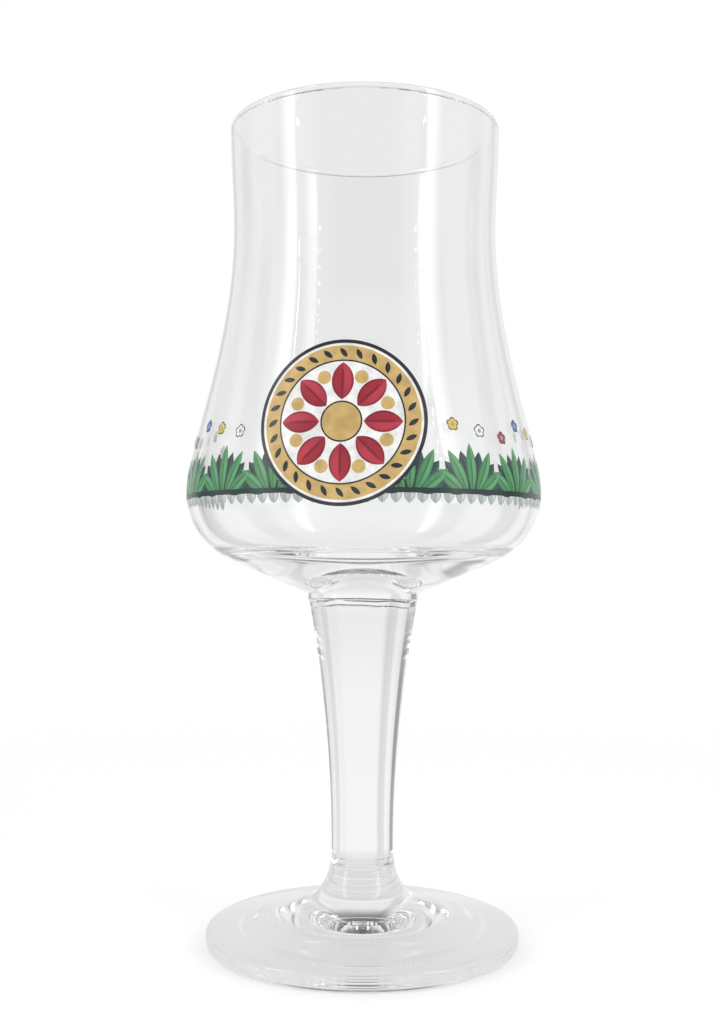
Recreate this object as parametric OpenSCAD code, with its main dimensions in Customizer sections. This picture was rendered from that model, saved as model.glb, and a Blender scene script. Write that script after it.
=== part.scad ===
// Stemmed tulip beer glass: bowl, stem and foot of clear glass, with fired enamel on the bowl.
// Millimetres, +Z up, origin on the table at the centre of the foot. The front faces -Y.

/* [Foot] */
// Diameter of the foot
foot_d = 69; // [60:0.5:80]
// Height of the foot with its neck, up to the lower seam
foot_h = 17.3; // [15:0.1:21]
// Height of the foot's edge
edge_h = 4; // [3.2:0.1:5.5]
// Radius of the upper round of the edge
edge_round_top = 1.2; // [0.6:0.1:1.6]
// Radius of the lower round of the edge
edge_round_low = 1.6; // [0.6:0.1:1.6]
// Slope of the foot's upper face, in degrees
foot_slope = 13; // [8:0.5:16]
// Diameter of the hollow under the foot
hollow_d = 54; // [48:0.5:60]
// Diameter of the hollow's level top
hollow_top_d = 36; // [28:0.5:44]
// Depth of the hollow under the foot
hollow_h = 5; // [2:0.1:5.4]

/* [Stem] */
// Length of the stem between its two seams
stem_h = 58.5; // [40:0.5:80]
// Diameter of the stem under the bowl
stem_top_d = 24; // [20:0.1:28]
// Lean of the stem's side under the bowl, in degrees
stem_lean = 10.7; // [4:0.1:16]
// Diameter of the stem at its waist
waist_d = 13.8; // [11:0.1:16]
// Height of the waist above the lower seam
waist_h = 3.9; // [2:0.1:8]
// Diameter of the lower seam
seam_d = 14.3; // [12:0.1:18]
// Lean of the neck's side at the lower seam, in degrees
neck_lean = 14; // [0:0.5:20]
// Depth of the groove round each fused seam
groove = 0.25; // [0.1:0.05:0.5]

/* [Bowl] */
// Height of the bowl with its collar, from the upper seam to the rim
bowl_h = 104.2; // [90:0.2:120]
// Diameter of the collar under the bowl
collar_d = 24.6; // [20:0.1:30]
// Height of the collar
collar_h = 1.6; // [0.8:0.1:3]
// Slope of the bowl's straight underside, in degrees
underside_slope = 23; // [16:0.5:27]
// Diameter at which the straight underside turns into the shoulder
shoulder_d = 55.7; // [46:0.1:62]
// Largest diameter of the bowl
belly_d = 78; // [70:0.5:90]
// Height of the largest diameter above the upper seam
belly_h = 23.7; // [19:0.1:30]
// Diameter of the throat, the narrowest part of the upper bowl
throat_d = 57.9; // [50:0.1:66]
// Height of the throat above the upper seam
throat_h = 81.2; // [70:0.1:92]
// Outer diameter of the rim
rim_d = 59.3; // [50:0.1:68]
// Wall below the lip and at the throat
rim_wall = 1; // [0.8:0.1:1.4]
// Thickness of the lip's fire-polished bead, which swells inwards
bead_d = 1.4; // [1.4:0.1:2]
// Wall at the largest diameter
belly_wall = 2; // [1.4:0.1:3]
// Glass under the middle of the cavity, down to the upper seam
floor_h = 7; // [6:0.1:9]
// How far the cavity's floor dips in the middle
floor_dip = 4.4; // [3:0.1:5.4]
// Diameter of the cavity's floor, to the corner under the wall
floor_d = 58; // [50:0.5:60]

/* [Print] */
// Thickness of an enamel film
film_t = 0.12; // [0.08:0.01:0.3]
// Diameter of the medallion on the front
medallion_d = 33; // [24:0.5:36]
// Height of the medallion's centre above the largest diameter
medallion_rise = 12; // [8:0.5:20]
// Bare margin round the medallion
medallion_gap = 0.4; // [0.2:0.1:2]
// Width of the medallion's dark outer line
keyline_w = 0.7; // [0.4:0.1:1.2]
// Width of the white line inside the dark outer line
white_line_w = 0.5; // [0.3:0.1:1]
// Width of the gold border
border_w = 2.9; // [2:0.1:4]
// Width of the thin dark lines at the border and round the hub
thin_line_w = 0.3; // [0.2:0.05:0.6]
// Number of grain marks in the gold border
grain_count = 28; // [16:2:36]
// Number of petals in the rosette
petal_count = 8; // [6:1:10]
// Diameter of the gold hub
hub_d = 7.6; // [5:0.1:9]
// Number of leaf fans, one of them at the front; the back of the bowl stays bare
fan_count = 11; // [9:2:15]
// Angle from one leaf fan to the next, in degrees
fan_pitch = 20; // [18:0.5:22]
// Height of a leaf fan
fan_h = 9.2; // [7:0.1:10.5]
// Width of a leaf
leaf_w = 2.5; // [1.6:0.1:3.2]
// Height of the leaf band's foot below the largest diameter
band_drop = 0.8; // [0:0.1:3]
// Height of the dark line at the foot of the leaf band
vine_h = 1; // [0.6:0.1:1.6]
// Length of a ground leaf below the dark line
ground_h = 2; // [1:0.1:2.4]
// Diameter of a blossom
blossom_d = 2.6; // [1.8:0.1:3]
// Bare height between the leaf band and the lowest blossoms
blossom_gap = 0.3; // [0.2:0.1:2]

/* [Hidden] */
$fn = 96;

glass_tint = [0.86, 0.91, 0.91, 0.45];
enamel_dark = [0.13, 0.14, 0.16];
enamel_gold = [0.80, 0.66, 0.40];
enamel_crimson = [0.66, 0.18, 0.24];
enamel_white = [0.95, 0.95, 0.93];
enamel_leaf = [0.28, 0.52, 0.34];
enamel_shade = [0.16, 0.26, 0.25];
enamel_ground = [0.66, 0.70, 0.68];
enamel_red = [0.66, 0.20, 0.27];
enamel_blue = [0.17, 0.38, 0.70];
enamel_yellow = [0.86, 0.73, 0.27];

// Steps of a long curve and of a small round
curve_steps = 14;
round_steps = 6;

// Heights above the table
seam_z = foot_h;
collar_z = seam_z + stem_h;
waist_z = seam_z + waist_h;
underside_z = collar_z + collar_h;
belly_z = collar_z + belly_h;
throat_z = collar_z + throat_h;
rim_z = collar_z + bowl_h;
floor_z = collar_z + floor_h;
medallion_z = belly_z + medallion_rise;
band_z = belly_z - band_drop;
band_start_r = belly_d / 2 * 0.86;

// The lip's bead: its middle, the angle at which the inner face meets it, and the height where it does
bead = [rim_d / 2 - bead_d / 2, rim_z - bead_d / 2];
bead_angle = acos(min(1, 2 * rim_wall / bead_d - 1));
lip_z = bead.y - bead_d / 2 * sin(bead_angle);

// Shape factors: how far a curve keeps the direction of its end, as a share of its span
slope_pull = 0.84;
neck_pull = 0.6;
waist_pull = 0.45;
stem_low_pull = 0.37;
stem_top_pull = 0.28;
shoulder_out_pull = 0.8;
shoulder_up_pull = 0.4;
flank_low_pull = 0.165;
flank_top_pull = 0.435;
lip_pull = 0.4;
hollow_pull = 0.5;
dip_pull = 0.5;
corner_pull = 0.5;

// Points of a smooth curve from a to d, which leaves towards b and arrives from c
function curve(a, b, c, d) =
    [for (i = [0:curve_steps]) let (t = i / curve_steps, s = 1 - t)
        s * s * s * a + 3 * s * s * t * b + 3 * s * t * t * c + t * t * t * d];

// Points of a circular round from one angle to another
function round_edge(centre, radius, from, to) =
    [for (i = [0:round_steps]) let (angle = from + (to - from) * i / round_steps)
        centre + radius * [cos(angle), sin(angle)]];

// A list without its first point, for joining curves end to end
function after_first(points) = [for (i = [1:len(points) - 1]) points[i]];

function reversed(points) = [for (i = [len(points) - 1:-1:0]) points[i]];

// Outer side of the bowl from the shoulder up to the lip
function bowl_side() =
    let (
        shoulder_r = shoulder_d / 2,
        shoulder_z = underside_z + (shoulder_r - collar_d / 2) * tan(underside_slope),
        out = (belly_d / 2 - shoulder_r) * shoulder_out_pull
    )
    concat(
        curve([shoulder_r, shoulder_z],
              [shoulder_r + out * cos(underside_slope), shoulder_z + out * sin(underside_slope)],
              [belly_d / 2, belly_z - (belly_z - shoulder_z) * shoulder_up_pull],
              [belly_d / 2, belly_z]),
        after_first(flank(belly_d / 2, throat_d / 2)),
        after_first(lip_flare(throat_d / 2, rim_d / 2, bead.y))
    );

// The side between the largest diameter and the throat, outside or inside
function flank(low_r, high_r) =
    let (span = throat_z - belly_z)
    curve([low_r, belly_z], [low_r, belly_z + span * flank_low_pull],
          [high_r, throat_z - span * flank_top_pull], [high_r, throat_z]);

// The slight flare from the throat to the lip, outside or inside
function lip_flare(low_r, high_r, high_z) =
    let (reach = (high_z - throat_z) * lip_pull)
    curve([low_r, throat_z], [low_r, throat_z + reach], [high_r, high_z - reach], [high_r, high_z]);

// Inner side of the bowl from the middle of its floor up to the lip
function cavity_side() =
    let (
        inner_r = belly_d / 2 - belly_wall,
        floor_r = floor_d / 2,
        edge_z = floor_z + floor_dip
    )
    concat(
        curve([0, floor_z], [floor_r * dip_pull, floor_z], [floor_r * (1 - dip_pull / 2), edge_z],
              [floor_r, edge_z]),
        after_first(curve([floor_r, edge_z], [floor_r + (inner_r - floor_r) * corner_pull, edge_z],
                          [inner_r, belly_z - (belly_z - edge_z) * corner_pull], [inner_r, belly_z])),
        after_first(flank(inner_r, throat_d / 2 - rim_wall)),
        after_first(lip_flare(throat_d / 2 - rim_wall, rim_d / 2 - rim_wall, lip_z))
    );

module bowl() {
    collar_r = collar_d / 2;
    color(glass_tint)
        rotate_extrude()
            polygon(concat(
                [[0, collar_z], [collar_r - groove, collar_z], [collar_r, collar_z + groove],
                 [collar_r, underside_z]],
                bowl_side(),
                after_first(round_edge(bead, bead_d / 2, 0, 180 + bead_angle)),
                after_first(reversed(cavity_side()))
            ));
}

module stem() {
    top = [stem_top_d / 2, collar_z - groove];
    low = [seam_d / 2, seam_z + groove];
    waist = [waist_d / 2, waist_z];
    span = top.y - waist.y;
    foot_span = waist.y - low.y;
    color(glass_tint)
        rotate_extrude()
            polygon(concat(
                [[0, seam_z], [seam_d / 2 - groove, seam_z]],
                curve(low, low + foot_span * waist_pull * [-tan(neck_lean), 1],
                      waist - [0, foot_span * waist_pull], waist),
                after_first(curve(waist, waist + [0, span * stem_low_pull],
                                  top - span * stem_top_pull * [sin(stem_lean), cos(stem_lean)], top)),
                [[stem_top_d / 2 - groove, collar_z], [0, collar_z]]
            ));
}

module foot() {
    outer_r = foot_d / 2;
    edge_top = [outer_r - edge_round_top, edge_h - edge_round_top];
    edge_low = [outer_r - edge_round_low, edge_round_low];
    upper_face = edge_top + edge_round_top * [sin(foot_slope), cos(foot_slope)];
    neck = [seam_d / 2, seam_z - groove];
    hollow_side_r = hollow_top_d / 2 * (1 - hollow_pull) + hollow_d / 2 * hollow_pull;
    reach = (upper_face.x - neck.x) * slope_pull;
    drop = (neck.y - upper_face.y) * neck_pull;
    color(glass_tint)
        rotate_extrude()
            polygon(concat(
                [[0, hollow_h]],
                curve([hollow_top_d / 2, hollow_h], [hollow_side_r, hollow_h], [hollow_side_r, 0],
                      [hollow_d / 2, 0]),
                round_edge(edge_low, edge_round_low, -90, 0),
                round_edge(edge_top, edge_round_top, 0, 90 - foot_slope),
                after_first(curve(upper_face, upper_face + reach * [-cos(foot_slope), sin(foot_slope)],
                                  neck + drop * [sin(neck_lean), -cos(neck_lean)], neck)),
                [[seam_d / 2 - groove, seam_z], [0, seam_z]]
            ));
}

// Enamel

// A thin skin on the bowl's outer face that covers at least the heights from low to high
module skin(low, high) {
    side = bowl_side();
    last = len(side) - 1;
    strip = [for (i = [0:last])
        if (side[min(i + 1, last)].y > low && side[max(i - 1, 0)].y < high) side[i]];
    rotate_extrude()
        polygon(concat(strip, [for (point = reversed(strip)) point + [film_t, 0]]));
}

// Carries a flat drawing out through the bowl's wall, from a radius, at a direction and a height
module towards(direction, height, start_r) {
    rotate([0, 0, direction])
        translate([0, -start_r, height])
            rotate([90, 0, 0])
                linear_extrude(height = belly_d)
                    children();
}

// A pointed leaf that starts at the origin and lies along +Y, between two arcs
module leaf(length, width) {
    arc_r = (length * length + width * width) / (4 * width);
    translate([0, length / 2])
        intersection() {
            translate([arc_r - width / 2, 0]) circle(arc_r);
            translate([width / 2 - arc_r, 0]) circle(arc_r);
        }
}

module ring_line(outer_r, width) {
    difference() {
        circle(outer_r);
        circle(outer_r - width);
    }
}

// Medallion: a geometric rosette in a border of grain marks

white_line_r = medallion_d / 2 - keyline_w;
border_r = white_line_r - white_line_w;
border_line_r = border_r - border_w;
field_r = border_line_r - thin_line_w;
hub_line_r = hub_d / 2 + thin_line_w;
petal_l = (field_r - hub_line_r) * 0.94;
petal_w = 2 * (hub_line_r + petal_l * 0.5) * sin(180 / petal_count) * 0.72;
stud_r = field_r * 0.11;
stud_pitch_r = field_r - 1.9 * stud_r;
grain_l = border_w * 0.82;
grain_w = border_w * 0.34;
grain_turn = 38;

module grain_marks() {
    for (i = [0:grain_count - 1])
        rotate(360 * i / grain_count)
            translate([0, border_r - border_w / 2])
                rotate(grain_turn)
                    translate([0, -grain_l / 2])
                        leaf(grain_l, grain_w);
}

module petals() {
    for (i = [0:petal_count - 1])
        rotate(360 * i / petal_count)
            translate([0, hub_line_r + (field_r - hub_line_r - petal_l) / 2])
                leaf(petal_l, petal_w);
}

module studs() {
    for (i = [0:petal_count - 1])
        rotate(360 * (i + 0.5) / petal_count)
            translate([0, stud_pitch_r])
                circle(stud_r);
}

module medallion_film() {
    intersection() {
        skin(medallion_z - medallion_d / 2, medallion_z + medallion_d / 2);
        towards(0, medallion_z, 0) children();
    }
}

module medallion_keyline() {
    color(enamel_dark)
        medallion_film() {
            ring_line(medallion_d / 2, keyline_w);
            ring_line(border_line_r, thin_line_w);
            ring_line(hub_line_r, thin_line_w);
            grain_marks();
        }
}

module medallion_gold() {
    color(enamel_gold)
        medallion_film() {
            difference() {
                ring_line(border_r, border_w);
                grain_marks();
            }
            studs();
            circle(d = hub_d);
        }
}

module medallion_crimson() {
    color(enamel_crimson)
        medallion_film() petals();
}

module medallion_white() {
    color(enamel_white)
        medallion_film() {
            ring_line(white_line_r, white_line_w);
            difference() {
                ring_line(field_r, field_r - hub_line_r);
                petals();
                studs();
            }
        }
}

// Frieze: leaf fans on a dark line, with a row of short ground leaves hanging below it

tile_w = belly_d * sin(fan_pitch / 2) - 0.3;
band_half_angle = fan_count * fan_pitch / 2;
bare_half_angle = 180 - band_half_angle;
fan_leaves = 5;
fan_spread = 104;
shade_leaves = 6;
shade_spread = 128;
ground_leaves = 5;
root_h = leaf_w / 2;

// Leaves that lean apart from a common root, which is cut off at the dark line
module fan(leaves, spread, height, width) {
    intersection() {
        translate([-tile_w / 2, 0]) square([tile_w, fan_h]);
        for (i = [0:leaves - 1])
            let (lean = i / (leaves - 1) - 0.5)
                translate([lean * tile_w * 0.3, -root_h])
                    rotate(-lean * spread)
                        leaf((height + root_h) * (1 - lean * lean), width);
    }
}

module leaf_fan() {
    fan(fan_leaves, fan_spread, fan_h, leaf_w);
}

module shade_fan() {
    difference() {
        fan(shade_leaves, shade_spread, fan_h * 0.85, leaf_w * 1.2);
        leaf_fan();
    }
}

module ground_row() {
    step = tile_w / ground_leaves;
    intersection() {
        translate([-tile_w / 2, -vine_h - ground_h]) square([tile_w, ground_h]);
        for (i = [0:ground_leaves - 1])
            translate([(i + 0.5) * step - tile_w / 2, -vine_h - ground_h])
                leaf(2 * ground_h, step * 0.9);
    }
}

module medallion_clearance() {
    towards(0, medallion_z, 0) circle(d = medallion_d + 2 * medallion_gap);
}

// One drawing at every fan, less what the medallion takes
module frieze_film(low, high) {
    for (i = [0:fan_count - 1])
        intersection() {
            skin(low, high);
            difference() {
                towards(fan_pitch * (i + 0.5) - band_half_angle, band_z, band_start_r) children();
                medallion_clearance();
            }
        }
}

// The dark line under the fans, which ends with them at the back
module vine_line() {
    corner = belly_d * [sin(bare_half_angle), cos(bare_half_angle)];
    intersection() {
        skin(band_z - vine_h, band_z);
        difference() {
            translate([0, 0, band_z - vine_h]) cylinder(h = vine_h, d = 2 * belly_d);
            translate([0, 0, band_z - 2 * vine_h])
                linear_extrude(height = 3 * vine_h)
                    polygon([[0, 0], corner, [-corner.x, corner.y]]);
            medallion_clearance();
        }
    }
}

module frieze_leaf() {
    color(enamel_leaf)
        frieze_film(band_z, band_z + fan_h) leaf_fan();
}

module frieze_shade() {
    color(enamel_shade) {
        frieze_film(band_z, band_z + fan_h) shade_fan();
        vine_line();
    }
}

module frieze_ground() {
    color(enamel_ground)
        frieze_film(band_z - vine_h - ground_h, band_z - vine_h) ground_row();
}

// Blossoms: five round petals each, in four colours that follow one another along the band

blossom_steps = 4;
blossom_step_h = 1;

module blossom() {
    petal_r = blossom_d * 0.23;
    circle(blossom_d * 0.2);
    for (i = [0:4])
        rotate(72 * i)
            translate([0, blossom_d / 2 - petal_r])
                circle(petal_r);
}

module blossoms(colour_index) {
    lowest_z = band_z + fan_h + blossom_gap + blossom_d / 2;
    highest_z = lowest_z + blossom_steps * blossom_step_h;
    clear_angle = asin((medallion_d / 2 + blossom_d) / (belly_d / 2));
    intersection() {
        skin(lowest_z - blossom_d, highest_z + blossom_d);
        for (i = [0:2 * fan_count - 1])
            let (direction = fan_pitch * (i / 2 + 0.25) - band_half_angle, step = (3 * i) % blossom_steps)
                if (i % 4 == colour_index && abs(direction) > clear_angle)
                    towards(direction, lowest_z + step * blossom_step_h, band_start_r) blossom();
    }
}

module blossom_red() { color(enamel_red) blossoms(0); }
module blossom_blue() { color(enamel_blue) blossoms(1); }
module blossom_yellow() { color(enamel_yellow) blossoms(2); }
module blossom_white() { color(enamel_white) blossoms(3); }

bowl();
stem();
foot();
medallion_keyline();
medallion_gold();
medallion_crimson();
medallion_white();
frieze_leaf();
frieze_shade();
frieze_ground();
blossom_red();
blossom_blue();
blossom_yellow();
blossom_white();
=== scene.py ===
"""A stemmed tulip beer glass: clear glass and fired enamel, in a pale studio."""

import math

import bmesh
import bpy
from bpy.props import FloatProperty, FloatVectorProperty, IntProperty, PointerProperty
from bpy.types import Operator, Panel, PropertyGroup
from mathutils import Euler, Matrix, Vector


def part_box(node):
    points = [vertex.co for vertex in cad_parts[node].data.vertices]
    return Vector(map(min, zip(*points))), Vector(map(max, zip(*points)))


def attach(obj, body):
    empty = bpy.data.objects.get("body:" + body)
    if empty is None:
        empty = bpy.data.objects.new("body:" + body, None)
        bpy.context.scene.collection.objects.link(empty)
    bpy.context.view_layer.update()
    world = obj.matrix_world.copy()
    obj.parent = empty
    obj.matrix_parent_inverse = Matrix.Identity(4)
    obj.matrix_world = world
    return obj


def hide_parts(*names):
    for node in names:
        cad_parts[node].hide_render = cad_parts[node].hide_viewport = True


bl_info = {
    "name": "Tulip Glass",
    "version": (1, 0, 0),
    "blender": (4, 5, 0),
    "location": "3D View > Sidebar > Glass",
    "description": "Builds a stemmed tulip beer glass with its fired enamel, and a pale studio for it",
    "category": "Object",
}

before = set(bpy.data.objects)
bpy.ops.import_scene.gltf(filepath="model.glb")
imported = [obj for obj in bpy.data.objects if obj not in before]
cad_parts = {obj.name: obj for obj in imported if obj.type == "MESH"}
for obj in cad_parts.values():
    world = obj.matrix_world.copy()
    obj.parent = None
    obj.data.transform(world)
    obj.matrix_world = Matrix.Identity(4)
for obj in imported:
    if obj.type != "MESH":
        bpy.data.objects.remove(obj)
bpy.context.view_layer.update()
BOWL_LOW, BOWL_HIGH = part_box("bowl")
STEM_LOW, STEM_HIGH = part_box("stem")
FOOT_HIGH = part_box("foot")[1]
MEDALLION_LOW, MEDALLION_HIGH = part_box("medallion_keyline")
LEAF_LOW, LEAF_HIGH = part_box("frieze_leaf")
GROUND_LOW, GROUND_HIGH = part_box("frieze_ground")

MM = 0.001
BODY = "root"


def tint(red, green, blue):
    """A colour as seen on screen, from 0 to 255, as the linear colour that shaders take."""
    shares = [channel / 255 for channel in (red, green, blue)]
    return tuple(s / 12.92 if s <= 0.04045 else ((s + 0.055) / 1.055) ** 2.4 for s in shares)


def length(name, millimetres, description):
    """A property for one size of the glass."""
    return FloatProperty(
        name=name, description=description, default=millimetres * MM, min=0, unit="LENGTH", precision=5
    )


def slope(name, degrees, description):
    """A property for one angle of the glass."""
    return FloatProperty(
        name=name, description=description, default=math.radians(degrees), unit="ROTATION"
    )


def colour(name, red, green, blue, description):
    """A property for one enamel colour."""
    return FloatVectorProperty(
        name=name, description=description, subtype="COLOR", size=3, min=0, max=1,
        default=tint(red, green, blue),
    )


def amount(name, number, description):
    """A property for one number without a unit."""
    return FloatProperty(name=name, description=description, default=number)


class GlassSizes(PropertyGroup):
    """Sizes of the clear glass that the frame's boxes don't give."""

    edge_h: length("Edge height", 4, "Height of the foot's edge")
    edge_round_top: length("Upper round", 1.2, "Radius of the upper round of the foot's edge")
    edge_round_low: length("Lower round", 1.6, "Radius of the lower round of the foot's edge")
    foot_slope: slope("Foot slope", 13, "Slope of the foot's upper face")
    hollow_d: length("Hollow", 54, "Diameter of the hollow under the foot")
    hollow_top_d: length("Hollow top", 36, "Diameter of the hollow's level top")
    hollow_h: length("Hollow depth", 5, "Depth of the hollow under the foot")
    seam_d: length("Lower seam", 14.3, "Diameter of the seam between foot and stem")
    neck_lean: slope("Neck lean", 14, "Lean of the neck's side at the lower seam")
    waist_d: length("Waist", 13.8, "Smallest diameter of the stem")
    waist_h: length("Waist height", 3.9, "Height of the waist above the lower seam")
    stem_lean: slope("Stem lean", 10.7, "Lean of the stem's side under the bowl")
    groove: length("Groove", 0.25, "Depth of the groove round each fused seam")
    seam_wave: length("Seam wave", 0.16, "How far the upper seam wanders up and down")
    collar_d: length("Collar", 24.6, "Diameter of the collar under the bowl")
    collar_h: length("Collar height", 1.6, "Height of the collar under the bowl")
    underside_slope: slope("Underside slope", 23, "Slope of the bowl's straight underside")
    shoulder_d: length("Shoulder", 55.7, "Diameter at which the underside turns into the shoulder")
    belly_h: length("Belly height", 23.7, "Height of the largest diameter above the upper seam")
    throat_d: length("Throat", 57.9, "Smallest diameter of the upper bowl")
    throat_h: length("Throat height", 81.2, "Height of the throat above the upper seam")
    rim_d: length("Rim", 59.3, "Outer diameter of the rim")
    rim_wall: length("Rim wall", 1, "Wall below the lip and at the throat")
    bead_d: length("Lip bead", 1.4, "Thickness of the fire-polished bead of the lip")
    belly_wall: length("Belly wall", 2, "Wall at the largest diameter")
    floor_h: length("Floor", 7, "Glass under the middle of the cavity, down to the upper seam")
    floor_dip: length("Floor dip", 4.4, "How far the cavity's floor dips in the middle")
    floor_d: length("Floor diameter", 58, "Diameter of the cavity's floor, to the corner under the wall")
    turns: IntProperty(name="Turns", description="Steps round the axis", default=168, min=24)


class PrintSizes(PropertyGroup):
    """Sizes of the fired enamel."""

    film_t: length("Film", 0.03, "Thickness of one enamel film")
    film_gap: length("Film gap", 0.012, "Room between the glass and the lowest film")
    keyline_w: length("Keyline", 0.7, "Width of the medallion's dark outer line")
    white_line_w: length("White line", 0.5, "Width of the white line inside the keyline")
    border_w: length("Border", 2.9, "Width of the gold border")
    thin_line_w: length("Thin line", 0.3, "Width of the thin dark lines")
    hub_d: length("Hub", 7.6, "Diameter of the gold hub")
    leaf_w: length("Leaf", 2.5, "Width of a leaf")
    vine_h: length("Vine line", 1, "Height of the dark line at the foot of the leaf band")
    blossom_d: length("Blossom", 2.6, "Diameter of a blossom")
    blossom_gap: length("Blossom gap", 0.3, "Bare height between the leaves and the lowest blossoms")
    blossom_step: length("Blossom step", 1, "Height between one row of blossoms and the next")
    outline_w: length("Outline", 0.16, "Width of the dark line round a blossom")
    grain_count: IntProperty(name="Grains", description="Grain marks in the gold border", default=28)
    petal_count: IntProperty(name="Petals", description="Petals of the rosette", default=8)
    fan_count: IntProperty(name="Fans", description="Leaf fans, one of them at the front", default=11)
    fan_pitch: slope("Fan pitch", 20, "Angle from one leaf fan to the next")


class PrintColours(PropertyGroup):
    """Colours of the fired enamel, as they look in white light."""

    dark: colour("Dark", 40, 42, 46, "Lines of the medallion")
    gold: colour("Gold", 205, 172, 108, "Border and hub of the medallion")
    crimson: colour("Crimson", 164, 46, 62, "Petals of the rosette")
    white: colour("White", 240, 240, 237, "Ground of the medallion, and the white blossoms")
    leaf: colour("Leaf", 76, 140, 92, "Upper leaves of the frieze")
    shade: colour("Shade", 42, 66, 66, "Lower leaves of the frieze and its line")
    ground: colour("Ground", 176, 184, 180, "Short leaves under the line")
    red: colour("Red", 172, 66, 84, "Red blossoms")
    blue: colour("Blue", 48, 102, 182, "Blue blossoms")
    yellow: colour("Yellow", 222, 188, 78, "Yellow blossoms")


class StudioSettings(PropertyGroup):
    """Where the camera stands, and how bright the studio is, where 1 is white."""

    camera_turn: slope("Camera turn", 6.85, "Direction of the camera, from -Y towards +X")
    camera_roll: slope("Camera roll", 0.2, "How far the glass leans to the right in the picture")
    camera_d: length("Camera distance", 275, "Distance of the camera from the axis of the glass")
    camera_z: length("Camera height", 84.5, "Height of the camera above the table")
    lens: amount("Lens", 43.43, "Focal length in millimetres")
    horizon_drop: amount("Horizon", 0.0479, "Drop of the horizon under the picture's middle, to its height")
    axis_right: amount("Axis", 0.0034, "How far the axis lies right of the picture's middle, to its height")
    panel_middle: slope("Panels' middle", 3.4, "Direction halfway between the panels, from the front")
    panel_turn: slope("Panel turn", 59, "Direction of each soft panel, from their middle")
    panel_far: length("Panel distance", 200, "Distance of each soft panel from the axis")
    panel_w: length("Panel width", 70, "Width of each soft panel")
    panel_h: length("Panel height", 350, "Height of each soft panel")
    panel_z: length("Panel middle height", 200, "Height of each panel's middle")
    panel_power: FloatProperty(
        name="Panel power", description="Power of each panel", default=0.42, unit="POWER"
    )
    panel_soft: amount("Panel brightness", 0.45, "Brightness of the soft part, to the panel's power")
    panel_lamp: amount("Lamp brightness", 5.0, "Brightness of the small lamps, to the panel's power")
    lamp_count: IntProperty(name="Lamps", description="Lamps in a row", default=15)
    sky_fill: amount("Fill", 0.8, "Light from all round on matt surfaces")
    sky_clear: amount("Clear", 0.86, "Brightness seen through the glass")
    sky_low: amount("Low sky", 0.93, "Brightness of the horizon in the glass")
    sky_top: amount("Top", 0.8, "What the zenith lacks in brightness")
    top_low: amount("Top from", 0.45, "Sine of the height where the dark top begins")
    top_high: amount("Top to", 0.85, "Sine of the height where the top is darkest")
    floor_near: amount("Near floor", 0.75, "Brightness of the floor near the glass, seen through the glass")
    sky_card: amount("Cards", 0.75, "What the grey cards lack in brightness")
    card_turn: slope("Card turn", 64, "Direction of each card, from the Y axis")
    card_core: slope("Card core", 6, "Half width of a card's darkest part")
    card_soft: slope("Card edge", 14, "Half width of a card with its faded edge")
    card_low: amount("Card foot", 0.1, "Sine of the height where the cards begin to fade")
    card_high: amount("Card top", 0.4, "Sine of the height where the cards end")
    sky_front: amount("Front", 0.45, "What the opening towards the front lacks in brightness")
    front_core: slope("Front core", 30, "Half width of the opening's darkest part")
    front_soft: slope("Front edge", 45, "Half width of the opening with its faded edge")
    front_rise: amount("Front rise", 0.1, "Sine of the height where the opening is darkest")
    sky_back: amount("Back", 0.2, "What the backdrop's edges lack in brightness")
    back_turn: slope("Back turn", 31, "Direction of the backdrop's edges, from the back")
    back_core: slope("Back core", 3, "Half width of an edge's darkest part")
    back_soft: slope("Back edge", 8, "Half width of an edge with its fade")


# Shader expressions


class Signal:
    """A shader socket that takes part in arithmetic. Each step adds a Math node."""

    def __init__(self, finish, socket):
        self.finish = finish
        self.socket = socket

    def math(self, operation, first, second=0.0):
        made = self.finish.add("ShaderNodeMath", {"operation": operation}, {0: first, 1: second})
        return self.finish.out(made)

    def __add__(self, other):
        return self.math("ADD", self, other)

    def __sub__(self, other):
        return self.math("SUBTRACT", self, other)

    def __rsub__(self, other):
        return self.math("SUBTRACT", other, self)

    def __mul__(self, other):
        return self.math("MULTIPLY", self, other)

    def __abs__(self):
        return self.math("ABSOLUTE", self)

    def least(self, other):
        return self.math("MINIMUM", self, other)

    __radd__ = __add__
    __rmul__ = __mul__

    def ramp(self, low, high, start=0.0, end=1.0):
        """Goes smoothly from start to end as the signal goes from low to high."""
        made = self.finish.add(
            "ShaderNodeMapRange", {"interpolation_type": "SMOOTHSTEP"},
            {"Value": self, "From Min": low, "From Max": high, "To Min": start, "To Max": end},
        )
        return self.finish.out(made, "Result")

    def fade(self, low, high):
        """Goes smoothly from one to nothing as the signal goes from low to high."""
        return self.ramp(low, high, 1.0, 0.0)


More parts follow.
